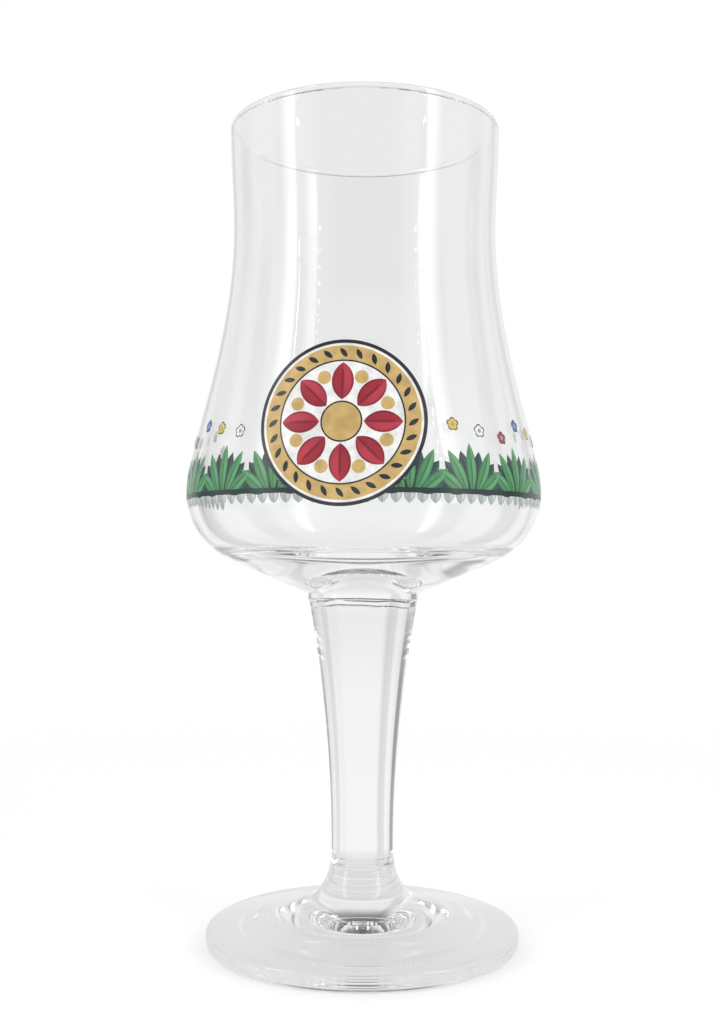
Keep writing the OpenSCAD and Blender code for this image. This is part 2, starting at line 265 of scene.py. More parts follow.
class Finish:
    """The nodes of one material or world."""

    def __init__(self, holder):
        holder.use_nodes = True
        self.tree = holder.node_tree
        self.tree.nodes.clear()

    def add(self, kind, settings=None, inputs=None):
        """A node of one kind, with its settings, then the values or links of its sockets."""
        node = self.tree.nodes.new(kind)
        for key, value in (settings or {}).items():
            setattr(node, key, value)
        for key, value in (inputs or {}).items():
            if isinstance(value, Signal):
                self.tree.links.new(value.socket, node.inputs[key])
            else:
                node.inputs[key].default_value = value
        return node

    def out(self, node, name=0):
        return Signal(self, node.outputs[name])

    def made(self, kind, settings=None, inputs=None, name=0):
        """One output of a new node."""
        return self.out(self.add(kind, settings, inputs), name)

    def place(self):
        """Where a point lies in the frame, in metres."""
        return self.made("ShaderNodeTexCoord", name="Object")

    def parts(self, vector):
        split = self.add("ShaderNodeSeparateXYZ", inputs={0: vector})
        return [self.out(split, axis) for axis in "XYZ"]

    def noise(self, vector, scale, detail=3.0):
        return self.made(
            "ShaderNodeTexNoise", inputs={"Vector": vector, "Scale": scale, "Detail": detail}, name="Fac"
        )

    def blend(self, amount, first, second):
        """A colour that goes from first to second."""
        made = self.add("ShaderNodeMix", {"data_type": "RGBA"}, {"Factor": amount})
        for socket, value in ((made.inputs[6], first), (made.inputs[7], second)):
            if isinstance(value, Signal):
                self.tree.links.new(value.socket, socket)
            else:
                socket.default_value = (*value, 1)
        return self.out(made, 2)

    def bump(self, height, strength, distance):
        return self.made(
            "ShaderNodeBump", inputs={"Height": height, "Strength": strength, "Distance": distance},
            name="Normal",
        )

    def surface(self, shader):
        self.add("ShaderNodeOutputMaterial", inputs={"Surface": shader})

    def principled(self, inputs):
        return self.made("ShaderNodeBsdfPrincipled", inputs=inputs)


def new_finish(name):
    material = bpy.data.materials.new(name)
    return material, Finish(material)


# How fine the patterns are, in marks a metre
WAVES, RIPPLES, CLOUDS, GRAIN = 60.0, 240.0, 420.0, 5200.0
WAVE_DEPTH = 0.5 * MM
GRAIN_DEPTH = 0.02 * MM
UNDERPRINT = tint(246, 248, 247)


def clear_glass():
    """Clear fire-polished glass, with the faint upright waves that drawing and turning leave."""
    material, finish = new_finish("polished_glass")
    stretched = finish.made(
        "ShaderNodeMapping", inputs={"Vector": finish.place(), "Scale": (1, 1, 0.12)}, name="Vector"
    )
    waves = finish.noise(stretched, WAVES, 2.0)
    ripple = finish.noise(finish.place(), RIPPLES, 1.0)
    finish.surface(finish.principled({
        "Base Color": (0.985, 0.99, 0.988, 1),
        "Roughness": 0.0,
        "IOR": 1.51,
        "Transmission Weight": 1.0,
        "Normal": finish.bump(waves + ripple * 0.12, 0.05, WAVE_DEPTH),
    }))
    return material


def fused_glass():
    """Faces inside a fused seam, where there is no break in the glass."""
    material, finish = new_finish("fused_glass")
    finish.surface(finish.made("ShaderNodeBsdfTransparent", inputs={"Color": (1, 1, 1, 1)}))
    return material


def on_underprint(finish, shade):
    """A colour for the outside of a film, with the pale underprint on the side that faces the glass."""
    outward = finish.made("ShaderNodeVectorMath", {"operation": "DOT_PRODUCT"}, {
        0: finish.made("ShaderNodeNewGeometry", name="True Normal"),
        1: finish.made("ShaderNodeVectorMath", {"operation": "MULTIPLY"}, {0: finish.place(), 1: (1, 1, 0)}),
    }, "Value")
    return finish.blend(outward.ramp(-0.002, 0.002), UNDERPRINT, shade)


def fired(finish, shade, cloud, relief, gloss):
    """Fired enamel of one shade, with a glassy skin that the clouds dull a little."""
    finish.surface(finish.principled({
        "Base Color": on_underprint(finish, shade),
        "Roughness": cloud * 0.12 + (gloss - 0.06),
        "Normal": finish.bump(relief, 0.25, GRAIN_DEPTH),
    }))


def enamel(name, colour, gloss):
    """Enamel that is a little cloudy, with the fine grain of the screen."""
    material, finish = new_finish(name)
    cloud = finish.noise(finish.place(), CLOUDS)
    grain = finish.noise(finish.place(), GRAIN, 2.0)
    tone = cloud * 0.7 + grain * 0.3
    pale = [min(1.0, channel * 1.16 + 0.012) for channel in colour]
    deep = [channel * 0.84 for channel in colour]
    fired(finish, finish.blend(tone.ramp(0.3, 0.7), deep, pale), cloud, grain, gloss)
    return material


def leaf_enamel(name, colour, line, gloss):
    """Enamel leaves with a drawn rib, drawn edges and one half paler than the other."""
    material, finish = new_finish(name)
    across, along, _ = finish.parts(finish.made("ShaderNodeUVMap", {"uv_map": "drawing"}, name="UV"))
    from_rib = abs(across - 0.5)
    grain = finish.noise(finish.place(), GRAIN, 2.0)
    cloud = finish.noise(finish.place(), CLOUDS)
    rib = from_rib.fade(0.03, 0.09) * along.fade(0.72, 0.95)
    edge = from_rib.ramp(0.36, 0.46)
    drawn = (rib + edge).least(1.0) * 0.72
    pale = [min(1.0, channel * 1.3 + 0.015) for channel in colour]
    deep = [channel * 0.6 for channel in colour]
    halves = finish.blend(across.ramp(0.42, 0.58), colour, pale)
    tinted = finish.blend(along.ramp(0.0, 0.55, 0.45, 0.0), halves, deep)
    fired(finish, finish.blend(drawn, tinted, line), cloud, grain + drawn * 0.4, gloss)
    return material


# How much of its brightness the drawn line keeps in each enamel that has one
DRAWN_LINES = {"crimson": 0.45, "leaf": 0.3, "shade": 0.5, "ground": 0.7}
GLOSSY = 0.26
SATIN = {"gold": 0.34}


def enamel_of(name, colours):
    """The enamel of one colour, made when it is first asked for."""
    title = f"{name}_enamel"
    known = bpy.data.materials.get(title)
    if known:
        return known
    shade = getattr(colours, name)
    gloss = SATIN.get(name, GLOSSY)
    if name in DRAWN_LINES:
        return leaf_enamel(title, shade, [channel * DRAWN_LINES[name] for channel in shade], gloss)
    return enamel(title, shade, gloss)


# Outlines


# How far a curve keeps the direction of each of its ends, as a share of its span
SHOULDER_PULL, UNDER_BELLY_PULL = 0.8, 0.4
BELLY_PULL, THROAT_PULL = 0.165, 0.435
LIP_PULL = 0.4
FLOOR_PULL, FLOOR_EDGE_PULL = 0.5, 0.25
CORNER_PULL = 0.5
NECK_PULL = 0.45
WAIST_PULL, STEM_PULL = 0.37, 0.28
FOOT_PULL, FOOT_NECK_PULL = 0.84, 0.6


def bend(start, leave, arrive, end, steps=24):
    """Points of a smooth curve that leaves start towards one point and arrives from another."""
    start, leave, arrive, end = (Vector(point) for point in (start, leave, arrive, end))
    points = []
    for step in range(steps + 1):
        t = step / steps
        s = 1 - t
        points.append(s**3 * start + 3 * s * s * t * leave + 3 * s * t * t * arrive + t**3 * end)
    return points


def rounding(centre, radius, first, last, steps=8):
    """Points of a circular round, between two angles in degrees."""
    turns = [math.radians(first + (last - first) * step / steps) for step in range(steps + 1)]
    return [Vector(centre) + radius * Vector((math.cos(turn), math.sin(turn))) for turn in turns]


def joined(*stretches):
    """Stretches of outline end to end, without doubled points."""
    points = []
    for stretch in stretches:
        for point in stretch:
            if not points or (Vector(point) - points[-1]).length > 0.001 * MM:
                points.append(Vector(point))
    return points


def flank(low_r, high_r, belly_z, throat_z):
    """A side of the bowl's wall from the belly up to the throat."""
    span = throat_z - belly_z
    leave = (low_r, belly_z + BELLY_PULL * span)
    arrive = (high_r, throat_z - THROAT_PULL * span)
    return bend((low_r, belly_z), leave, arrive, (high_r, throat_z))


def lip_flare(low_r, high_r, throat_z, lip_z):
    """A side of the bowl's wall from the throat up to the lip."""
    reach = LIP_PULL * (lip_z - throat_z)
    return bend((low_r, throat_z), (low_r, throat_z + reach), (high_r, lip_z - reach), (high_r, lip_z), 12)


def lip_bead(sizes):
    """The middle of the lip's bead, and the angle and the height at which the inner face meets it."""
    radius = sizes.bead_d / 2
    middle = Vector((sizes.rim_d / 2 - radius, BOWL_HIGH.z - radius))
    angle = math.acos(min(1, sizes.rim_wall / radius - 1))
    return middle, angle, middle.y - radius * math.sin(angle)


def bowl_side(sizes):
    """The bowl's outer side, from its shoulder up to the lip."""
    belly_r = BOWL_HIGH.x
    belly_z = BOWL_LOW.z + sizes.belly_h
    throat_z = BOWL_LOW.z + sizes.throat_h
    shoulder_r = sizes.shoulder_d / 2
    rise = math.tan(sizes.underside_slope)
    shoulder = Vector((shoulder_r, BOWL_LOW.z + sizes.collar_h + (shoulder_r - sizes.collar_d / 2) * rise))
    out = SHOULDER_PULL * (belly_r - shoulder_r)
    leave = shoulder + out * Vector((math.cos(sizes.underside_slope), math.sin(sizes.underside_slope)))
    arrive = Vector((belly_r, belly_z - UNDER_BELLY_PULL * (belly_z - shoulder.y)))
    return joined(
        bend(shoulder, leave, arrive, (belly_r, belly_z)),
        flank(belly_r, sizes.throat_d / 2, belly_z, throat_z),
        lip_flare(sizes.throat_d / 2, sizes.rim_d / 2, throat_z, lip_bead(sizes)[0].y),
    )


def cavity_side(sizes):
    """The bowl's inner side, from the middle of its floor up to the lip."""
    inner_r = BOWL_HIGH.x - sizes.belly_wall
    floor_z = BOWL_LOW.z + sizes.floor_h
    edge_z = floor_z + sizes.floor_dip
    belly_z = BOWL_LOW.z + sizes.belly_h
    throat_z = BOWL_LOW.z + sizes.throat_h
    throat_r = sizes.throat_d / 2 - sizes.rim_wall
    floor_r = sizes.floor_d / 2
    level_r, rise_r = FLOOR_PULL * floor_r, (1 - FLOOR_EDGE_PULL) * floor_r
    out = CORNER_PULL * (inner_r - floor_r)
    up = CORNER_PULL * (belly_z - edge_z)
    return joined(
        bend((0, floor_z), (level_r, floor_z), (rise_r, edge_z), (floor_r, edge_z), 16),
        bend((floor_r, edge_z), (floor_r + out, edge_z), (inner_r, belly_z - up), (inner_r, belly_z), 28),
        flank(inner_r, throat_r, belly_z, throat_z),
        lip_flare(throat_r, sizes.rim_d / 2 - sizes.rim_wall, throat_z, lip_bead(sizes)[2]),
    )


# Pieces


def add_piece(name, bm, finishes, node):
    """Makes a piece of the object from a finished bmesh."""
    mesh = bpy.data.meshes.new(name)
    bm.to_mesh(mesh)
    bm.free()
    for finish in finishes:
        mesh.materials.append(finish)
    piece = bpy.data.objects.new(name, mesh)
    bpy.context.scene.collection.objects.link(piece)
    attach(piece, BODY)
    if node:
        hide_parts(node)
    return piece


# Waves of the upper seam: how many go round, where each starts and its share of the height
SEAM_WAVES = ((3, 0.6, 1.0), (7, 2.1, 0.6), (12, 0.0, 0.4))
SMOOTH_GLASS = math.radians(28)
SMOOTH_FILM = math.radians(40)


def seam_wander(place, sizes):
    """How far the upper seam lies above or below its mean height at a place near it."""
    turn = math.atan2(place.y, place.x)
    near = max(0.0, 1 - abs(place.z - BOWL_LOW.z) / (sizes.collar_h * 0.9))
    out = min(1.0, math.hypot(place.x, place.y) / (sizes.collar_d / 2))
    wave = sum(share * math.sin(count * turn + start) for count, start, share in SEAM_WAVES)
    return sizes.seam_wave * wave * near * out * out


def add_glass(name, outline, seams, node, sizes, finishes):
    """Turns an outline round the axis into a closed piece of clear glass, with its seam faces fused."""
    bm = bmesh.new()
    points = [bm.verts.new((point.x, 0, point.y)) for point in outline]
    lines = [bm.edges.new(pair) for pair in zip(points, points[1:])]
    bmesh.ops.spin(
        bm, geom=points + lines, axis=(0, 0, 1), cent=(0, 0, 0), angle=2 * math.pi, steps=sizes.turns,
        use_merge=True,
    )
    bmesh.ops.remove_doubles(bm, verts=bm.verts, dist=0.0005 * MM)
    bmesh.ops.recalc_face_normals(bm, faces=bm.faces)
    for face in bm.faces:
        face.smooth = True
        middle = face.calc_center_median()
        flat = abs(face.normal.z) > 0.99
        face.material_index = int(flat and any(abs(middle.z - seam) < 0.01 * MM for seam in seams))
    for edge in bm.edges:
        edge.smooth = edge.calc_face_angle(0) < SMOOTH_GLASS
    for vert in bm.verts:
        vert.co.z += seam_wander(vert.co, sizes)
    return add_piece(name, bm, finishes, node)


PETAL_DEPTH = 0.32


class Print:
    """Flat drawings that are laid on the bowl's outer face and given the thickness of a film."""

    def __init__(self, sizes, films):
        self.bm = bmesh.new()
        self.drawing = self.bm.loops.layers.uv.new("drawing")
        self.side = bowl_side(sizes)
        self.films = films

    def radius(self, height):
        """Radius of the bowl's outer face at a height."""
        for low, high in zip(self.side, self.side[1:]):
            if low.y <= height <= high.y:
                return low.x + (high.x - low.x) * (height - low.y) / (high.y - low.y)
        raise ValueError(f"no print can lie at a height of {height / MM:.1f} mm")

    def lay(self, verts, direction, height, layer):
        """Wraps flat points, whose middle goes to a direction and height, onto the bowl."""
        lift = self.films.film_gap + (layer + 1) * self.films.film_t
        faces = {face for vert in verts for face in vert.link_faces}
        for face in faces:
            if face.normal.z < 0:
                face.normal_flip()
        sine, cosine = math.sin(direction), math.cos(direction)
        for vert in verts:
            across, z = vert.co.x, height + vert.co.y
            out = math.sqrt((self.radius(z) + lift) ** 2 - across**2)
            vert.co = (across * cosine + out * sine, across * sine - out * cosine, z)

    def leaf(self, span, width, move, direction, height, layer, cells=(4, 10)):
        """A pointed leaf between two arcs, moved in the plane of the drawing and laid."""
        verts = bmesh.ops.create_grid(self.bm, x_segments=cells[0], y_segments=cells[1], size=0.5)["verts"]
        arc_r = (span * span + width * width) / (4 * width)
        for face in {face for vert in verts for face in vert.link_faces}:
            for loop in face.loops:
                loop[self.drawing].uv = (loop.vert.co.x + 0.5, loop.vert.co.y + 0.5)
        for vert in verts:
            along = vert.co.y * span
            half = math.sqrt(arc_r * arc_r - along * along) - (arc_r - width / 2)
            vert.co = (2 * vert.co.x * half, along + span / 2, 0)
            turn, shift = move
            cosine, sine = math.cos(turn), math.sin(turn)
            x, y = vert.co.x, vert.co.y
            vert.co = (x * cosine - y * sine + shift[0], x * sine + y * cosine + shift[1], 0)
        self.lay(verts, direction, height, layer)

    def ring(self, inner_r, outer_r, direction, height, layer, cells=1, steps=128, petals=0):
        """A flat ring, or a disc where the inner radius is nothing, either round or in petals."""
        before = set(self.bm.verts)
        points = [self.bm.verts.new((inner_r + (outer_r - inner_r) * step / cells, 0, 0))
                  for step in range(cells + 1)]
        lines = [self.bm.edges.new(pair) for pair in zip(points, points[1:])]
        bmesh.ops.spin(
            self.bm, geom=points + lines, axis=(0, 0, 1), cent=(0, 0, 0), angle=2 * math.pi, steps=steps,
            use_merge=True,
        )
        new = [vert for vert in self.bm.verts if vert not in before]
        bmesh.ops.remove_doubles(self.bm, verts=new, dist=0.0005 * MM)
        verts = [vert for vert in self.bm.verts if vert not in before]
        if petals:
            for vert in verts:
                turn = math.atan2(vert.co.x, vert.co.y)
                notch = 1 - math.sqrt(abs(math.cos(petals / 2 * turn)))
                vert.co *= 1 - PETAL_DEPTH * notch
        self.bm.normal_update()
        self.lay(verts, direction, height, layer)

    def dot(self, radius, place, direction, height, layer, segments=24):
        """A small round spot about a place in the drawing."""
        verts = bmesh.ops.create_circle(
            self.bm, cap_ends=True, cap_tris=True, segments=segments, radius=radius
        )["verts"]
        for vert in verts:
            vert.co = (vert.co.x + place[0], vert.co.y + place[1], 0)
        self.bm.normal_update()
        self.lay(verts, direction, height, layer)

    def trim(self, margin):
        """Takes away what would lie under the medallion, but for a margin inside its edge."""
        middle = (MEDALLION_LOW.z + MEDALLION_HIGH.z) / 2
        radius = (MEDALLION_HIGH.x - MEDALLION_LOW.x) / 2 - margin
        hidden = [
            vert for vert in self.bm.verts
            if vert.co.y < 0 and math.hypot(vert.co.x, vert.co.z - middle) < radius
        ]
        bmesh.ops.delete(self.bm, geom=hidden, context="VERTS")

    def fire(self, name, colour, colours, node=True):
        """Gives the films their thickness and makes the piece."""
        bmesh.ops.remove_doubles(self.bm, verts=self.bm.verts, dist=0.0002 * MM)
        self.bm.normal_update()
        bmesh.ops.solidify(self.bm, geom=self.bm.faces[:], thickness=self.films.film_t)
        bmesh.ops.recalc_face_normals(self.bm, faces=self.bm.faces)
        for face in self.bm.faces:
            face.smooth = True
        for edge in self.bm.edges:
            edge.smooth = edge.calc_face_angle(0) < SMOOTH_FILM
        return add_piece(f"{name}_print", self.bm, [enamel_of(colour, colours)], name if node else None)


def print_settings(scene):
    return scene.glass_sizes, scene.print_sizes, scene.print_colours


def polar(radius, turn):
    """A place in a drawing, at a radius and a turn clockwise from straight up."""
    return (radius * math.sin(turn), radius * math.cos(turn))


class GLASS_OT_clear_glass(Operator):
    """Build the bowl, the stem and the foot of clear glass"""

    bl_idname = "glass.clear_glass"
    bl_label = "Clear glass"

    def execute(self, context):
        sizes = context.scene.glass_sizes
        finishes = [clear_glass(), fused_glass()]
        self.bowl(sizes, finishes)
        self.stem(sizes, finishes)
        self.foot(sizes, finishes)
        return {"FINISHED"}

    def bowl(self, sizes, finishes):
        low = BOWL_LOW.z
        collar_r = sizes.collar_d / 2
        bead, angle, _ = lip_bead(sizes)
        angle = math.degrees(angle)
        outline = joined(
            [(0, low), (collar_r * 0.5, low), (collar_r - sizes.groove, low), (collar_r, low + sizes.groove)],
            [(collar_r, low + sizes.collar_h)],
            bowl_side(sizes),
            rounding(bead, sizes.bead_d / 2, 0, 180 + angle, 28),
            reversed(cavity_side(sizes)),
        )
        add_glass("bowl_glass", outline, [low], "bowl", sizes, finishes)

    def stem(self, sizes, finishes):
        low, high = STEM_LOW.z, STEM_HIGH.z
        top = Vector((STEM_HIGH.x, high - sizes.groove))
        root = Vector((sizes.seam_d / 2, low + sizes.groove))
        waist = Vector((sizes.waist_d / 2, low + sizes.waist_h))
        span = top.y - waist.y
        foot_span = waist.y - root.y
        lean = Vector((math.sin(sizes.stem_lean), math.cos(sizes.stem_lean)))
        outline = joined(
            [(0, low), (root.x - sizes.groove, low)],
            bend(root, root + NECK_PULL * foot_span * Vector((-math.tan(sizes.neck_lean), 1)),
                 waist - Vector((0, NECK_PULL * foot_span)), waist, 10),
            bend(waist, waist + Vector((0, WAIST_PULL * span)), top - STEM_PULL * span * lean, top, 40),
            [(top.x - sizes.groove, high), (top.x * 0.5, high), (0, high)],
        )
        add_glass("stem_glass", outline, [low, high], "stem", sizes, finishes)

    def foot(self, sizes, finishes):
        high = FOOT_HIGH.z
        upper = Vector((FOOT_HIGH.x - sizes.edge_round_top, sizes.edge_h - sizes.edge_round_top))
        lower = Vector((FOOT_HIGH.x - sizes.edge_round_low, sizes.edge_round_low))
        slope_out = Vector((-math.cos(sizes.foot_slope), math.sin(sizes.foot_slope)))
        face = upper + sizes.edge_round_top * Vector((math.sin(sizes.foot_slope), math.cos(sizes.foot_slope)))
        neck = Vector((sizes.seam_d / 2, high - sizes.groove))
        neck_out = Vector((math.sin(sizes.neck_lean), -math.cos(sizes.neck_lean)))
        hollow_r, top_r = sizes.hollow_d / 2, sizes.hollow_top_d / 2
        side_r = (hollow_r + top_r) / 2
        outline = joined(
            [(0, sizes.hollow_h)],
            bend((top_r, sizes.hollow_h), (side_r, sizes.hollow_h), (side_r, 0), (hollow_r, 0), 16),
            rounding(lower, sizes.edge_round_low, -90, 0),
            rounding(upper, sizes.edge_round_top, 0, 90 - math.degrees(sizes.foot_slope)),
            bend(face, face + FOOT_PULL * (face.x - neck.x) * slope_out,
                 neck + FOOT_NECK_PULL * (neck.y - face.y) * neck_out, neck, 32),
            [(neck.x - sizes.groove, high), (0, high)],
        )
        add_glass("foot_glass", outline, [high], "foot", sizes, finishes)


class GLASS_OT_medallion(Operator):
    """Print the round medallion: a rosette in a border of grain marks"""

    bl_idname = "glass.medallion"
    bl_label = "Medallion"

    def execute(self, context):
        sizes, films, colours = print_settings(context.scene)
        height = (MEDALLION_LOW.z + MEDALLION_HIGH.z) / 2
        outer_r = (MEDALLION_HIGH.x - MEDALLION_LOW.x) / 2
        white_r = outer_r - films.keyline_w
        border_r = white_r - films.white_line_w
        line_r = border_r - films.border_w
        field_r = line_r - films.thin_line_w
        hub_r = films.hub_d / 2
        hub_line_r = hub_r + films.thin_line_w
        place = (0, height)

        keyline = Print(sizes, films)
        keyline.ring(white_r, outer_r, *place, 3, steps=160)
        keyline.ring(field_r, line_r, *place, 3)
        keyline.ring(hub_r, hub_line_r, *place, 3, steps=72)
        grain = 0.82 * films.border_w
        for index in range(films.grain_count):
            turn = 2 * math.pi * index / films.grain_count
            lean = turn - math.radians(38)
            middle = Vector(polar(border_r - films.border_w / 2, turn))
            start = middle - Vector(polar(grain / 2, lean))
            keyline.leaf(grain, 0.34 * films.border_w, (-lean, start), *place, 3, cells=(2, 6))
        keyline.fire("medallion_keyline", "dark", colours)

        border = Print(sizes, films)
        border.ring(line_r, border_r, *place, 2, cells=4)
        border.ring(0, hub_r, *place, 2, cells=5, steps=72)
        stud_r = 0.11 * field_r
        for index in range(films.petal_count):
            turn = 2 * math.pi * (index + 0.5) / films.petal_count
            border.dot(stud_r, polar(field_r - 1.9 * stud_r, turn), *place, 3)
        border.fire("medallion_gold", "gold", colours)

        rosette = Print(sizes, films)
        span = 0.94 * (field_r - hub_line_r)
        inset = (field_r - hub_line_r - span) / 2
        width = 1.44 * (hub_line_r + 0.5 * span) * math.sin(math.pi / films.petal_count)
        for index in range(films.petal_count):
            turn = 2 * math.pi * index / films.petal_count
            rosette.leaf(span, width, (-turn, polar(hub_line_r + inset, turn)), *place, 3, cells=(8, 14))
        rosette.fire("medallion_crimson", "crimson", colours)

        ground = Print(sizes, films)
        ground.ring(border_r, white_r, *place, 2, steps=160)
        ground.ring(hub_line_r, field_r, *place, 2, cells=10)
        ground.fire("medallion_white", "white", colours)
        return {"FINISHED"}


class GLASS_OT_frieze(Operator):
    """Print the band of leaf fans, its dark line and the short leaves under it"""

    bl_idname = "glass.frieze"
    bl_label = "Leaf frieze"

    def execute(self, context):
        sizes, films, colours = print_settings(context.scene)
        pitch = films.fan_pitch
        tile_w = 2 * BOWL_HIGH.x * math.sin(pitch / 2) - 0.3 * MM
        band_z, fan_h = LEAF_LOW.z, LEAF_HIGH.z - LEAF_LOW.z
        leaves, shade, ground = (Print(sizes, films) for _ in range(3))
        for fan in range(films.fan_count):
            direction = (fan - (films.fan_count - 1) / 2) * pitch
            self.fan(leaves, direction, band_z, tile_w, 5, math.radians(104), fan_h, films.leaf_w, 1, films)
            self.fan(shade, direction, band_z, tile_w, 6, math.radians(128), 0.85 * fan_h,
                     1.2 * films.leaf_w, 0, films)
            self.ground_row(ground, direction, tile_w)
        self.vine(shade, band_z, films)
        for name, drawing in (("leaf", leaves), ("shade", shade), ("ground", ground)):
            drawing.trim(films.keyline_w)
            drawing.fire(f"frieze_{name}", name, colours)
        return {"FINISHED"}

    def fan(self, drawing, direction, band_z, tile_w, count, spread, height, width, layer, films):
        root = 0.9 * films.vine_h
        for index in range(count):
            lean = index / (count - 1) - 0.5
            span = (height + root) * (1 - lean * lean)
            turn = lean * spread
            drawing.leaf(span, width, (-turn, (0.3 * lean * tile_w, -root)), direction, band_z, layer)

    def ground_row(self, drawing, direction, tile_w):
        count = 5
        step = tile_w / count
        span = GROUND_HIGH.z - GROUND_LOW.z
        for index in range(count):
            x = (index + 0.5) * step - tile_w / 2
            drawing.leaf(2 * span, 0.9 * step, (0, (x, 0)), direction, GROUND_LOW.z, -0.5)

    def vine(self, drawing, band_z, films):
        """A dark line under the leaves, which ends with them at the back."""
        bm = drawing.bm
        before = set(bm.verts)
        lift = films.film_gap + 3 * films.film_t
        arc = films.fan_count * films.fan_pitch
        heights = [band_z - films.vine_h * (1 - step / 2) for step in range(3)]
        points = []
        for height in heights:
            out = drawing.radius(height) + lift
            points.append(bm.verts.new((-out * math.sin(arc / 2), -out * math.cos(arc / 2), height)))
        lines = [bm.edges.new(pair) for pair in zip(points, points[1:])]
        bmesh.ops.spin(bm, geom=points + lines, axis=(0, 0, 1), cent=(0, 0, 0), angle=arc, steps=160)
        bm.normal_update()
        for face in {face for vert in bm.verts if vert not in before for face in vert.link_faces}:
            middle = face.calc_center_median()
            if face.normal.dot(Vector((middle.x, middle.y, 0))) < 0:
                face.normal_flip()


class GLASS_OT_blossoms(Operator):
    """Print the small blossoms above the leaves, with their dark outlines and pale hearts"""

    bl_idname = "glass.blossoms"
    bl_label = "Blossoms"

    def execute(self, context):
        sizes, films, colours = print_settings(context.scene)
        names = ("red", "blue", "yellow", "white")
        prints = {name: Print(sizes, films) for name in names}
        outlines, hearts, bases = (Print(sizes, films) for _ in range(3))
        lowest = LEAF_HIGH.z + films.blossom_gap + films.blossom_d / 2
        medallion_r = (MEDALLION_HIGH.x - MEDALLION_LOW.x) / 2
        clear = math.asin((medallion_r + films.blossom_d) / BOWL_HIGH.x)
        for index in range(2 * films.fan_count):
            direction = films.fan_pitch * (index / 2 + 0.25 - films.fan_count / 2)
            if abs(direction) < clear:
                continue
            height = lowest + (3 * index) % 4 * films.blossom_step
            radius = films.blossom_d / 2
            bases.ring(0, radius, direction, height, 0, steps=60, petals=5)
            prints[names[index % 4]].ring(0, radius, direction, height, 1, steps=60, petals=5)
            outlines.ring(radius - films.outline_w, radius + films.outline_w / 2, direction, height, 2,
                          steps=60, petals=5)
            hearts.dot(0.32 * radius, (0, 0), direction, height, 2, 16)
        for name in names:
            prints[name].fire(f"blossom_{name}", name, colours)
        outlines.fire("blossom_outline", "dark", colours, node=False)
        hearts.fire("blossom_heart", "ground", colours, node=False)
        bases.fire("blossom_base", "white", colours, node=False)
        return {"FINISHED"}


LOW_SKY = 0.15


def surroundings(finish, direction, studio):
    """How bright the glass sees the studio: pale, with low grey cards, a dim front and grey back edges."""
    x, y, z = finish.parts(direction)
    aside = x.math("ARCTAN2", abs(x), abs(y))
    from_front = x.math("ARCTAN2", abs(x), y * -1)
    from_back = x.math("ARCTAN2", abs(x), y)
    card = abs(aside - studio.card_turn).fade(studio.card_core, studio.card_soft)
    card = card * z.fade(studio.card_low, studio.card_high)
    front = from_front.fade(studio.front_core, studio.front_soft) * z.ramp(0.0, studio.front_rise)
    back = abs(from_back - studio.back_turn).fade(studio.back_core, studio.back_soft)
    shade = (1 - card * studio.sky_card) * (1 - front * studio.sky_front) * (1 - back * studio.sky_back)
    return shade * z.ramp(0.0, LOW_SKY, studio.sky_low, studio.sky_clear)


def seen_by_glass(finish):
    """One for a ray to the eye that the glass bent or mirrored, nothing for any other."""
    path = finish.add("ShaderNodeLightPath")
    bent = (finish.out(path, "Is Glossy Ray") + finish.out(path, "Is Transmission Ray")).least(1.0)
    return bent * (1 - finish.out(path, "Diffuse Depth").least(1.0))


def standing(distance, turn, height):
    """A place at a distance from the axis, in a direction from -Y towards +X."""
    return (distance * math.sin(turn), -distance * math.cos(turn), height)


BOUNCES = 256
FLOOR_R = 4
# Distances from the axis over which the floor goes from its near look to its far one
GLASS_FLOOR = (0.03, 0.1)
WHITE_FLOOR = (0.12, 0.5)
# A panel's glow in shares of its width, and the half of its height that is full
GLOW_FULL, GLOW_FALLS, GLOW_ENDS = 0.65, 0.72, 0.9
GLOW_TALL = 0.4
# The lamps' place in a panel's width, and each lamp's half width and half height, full and in all
LAMP_ROW = 0.95
LAMP_WIDE = (0.005, 0.03)
LAMP_TALL = (0.02, 0.14)


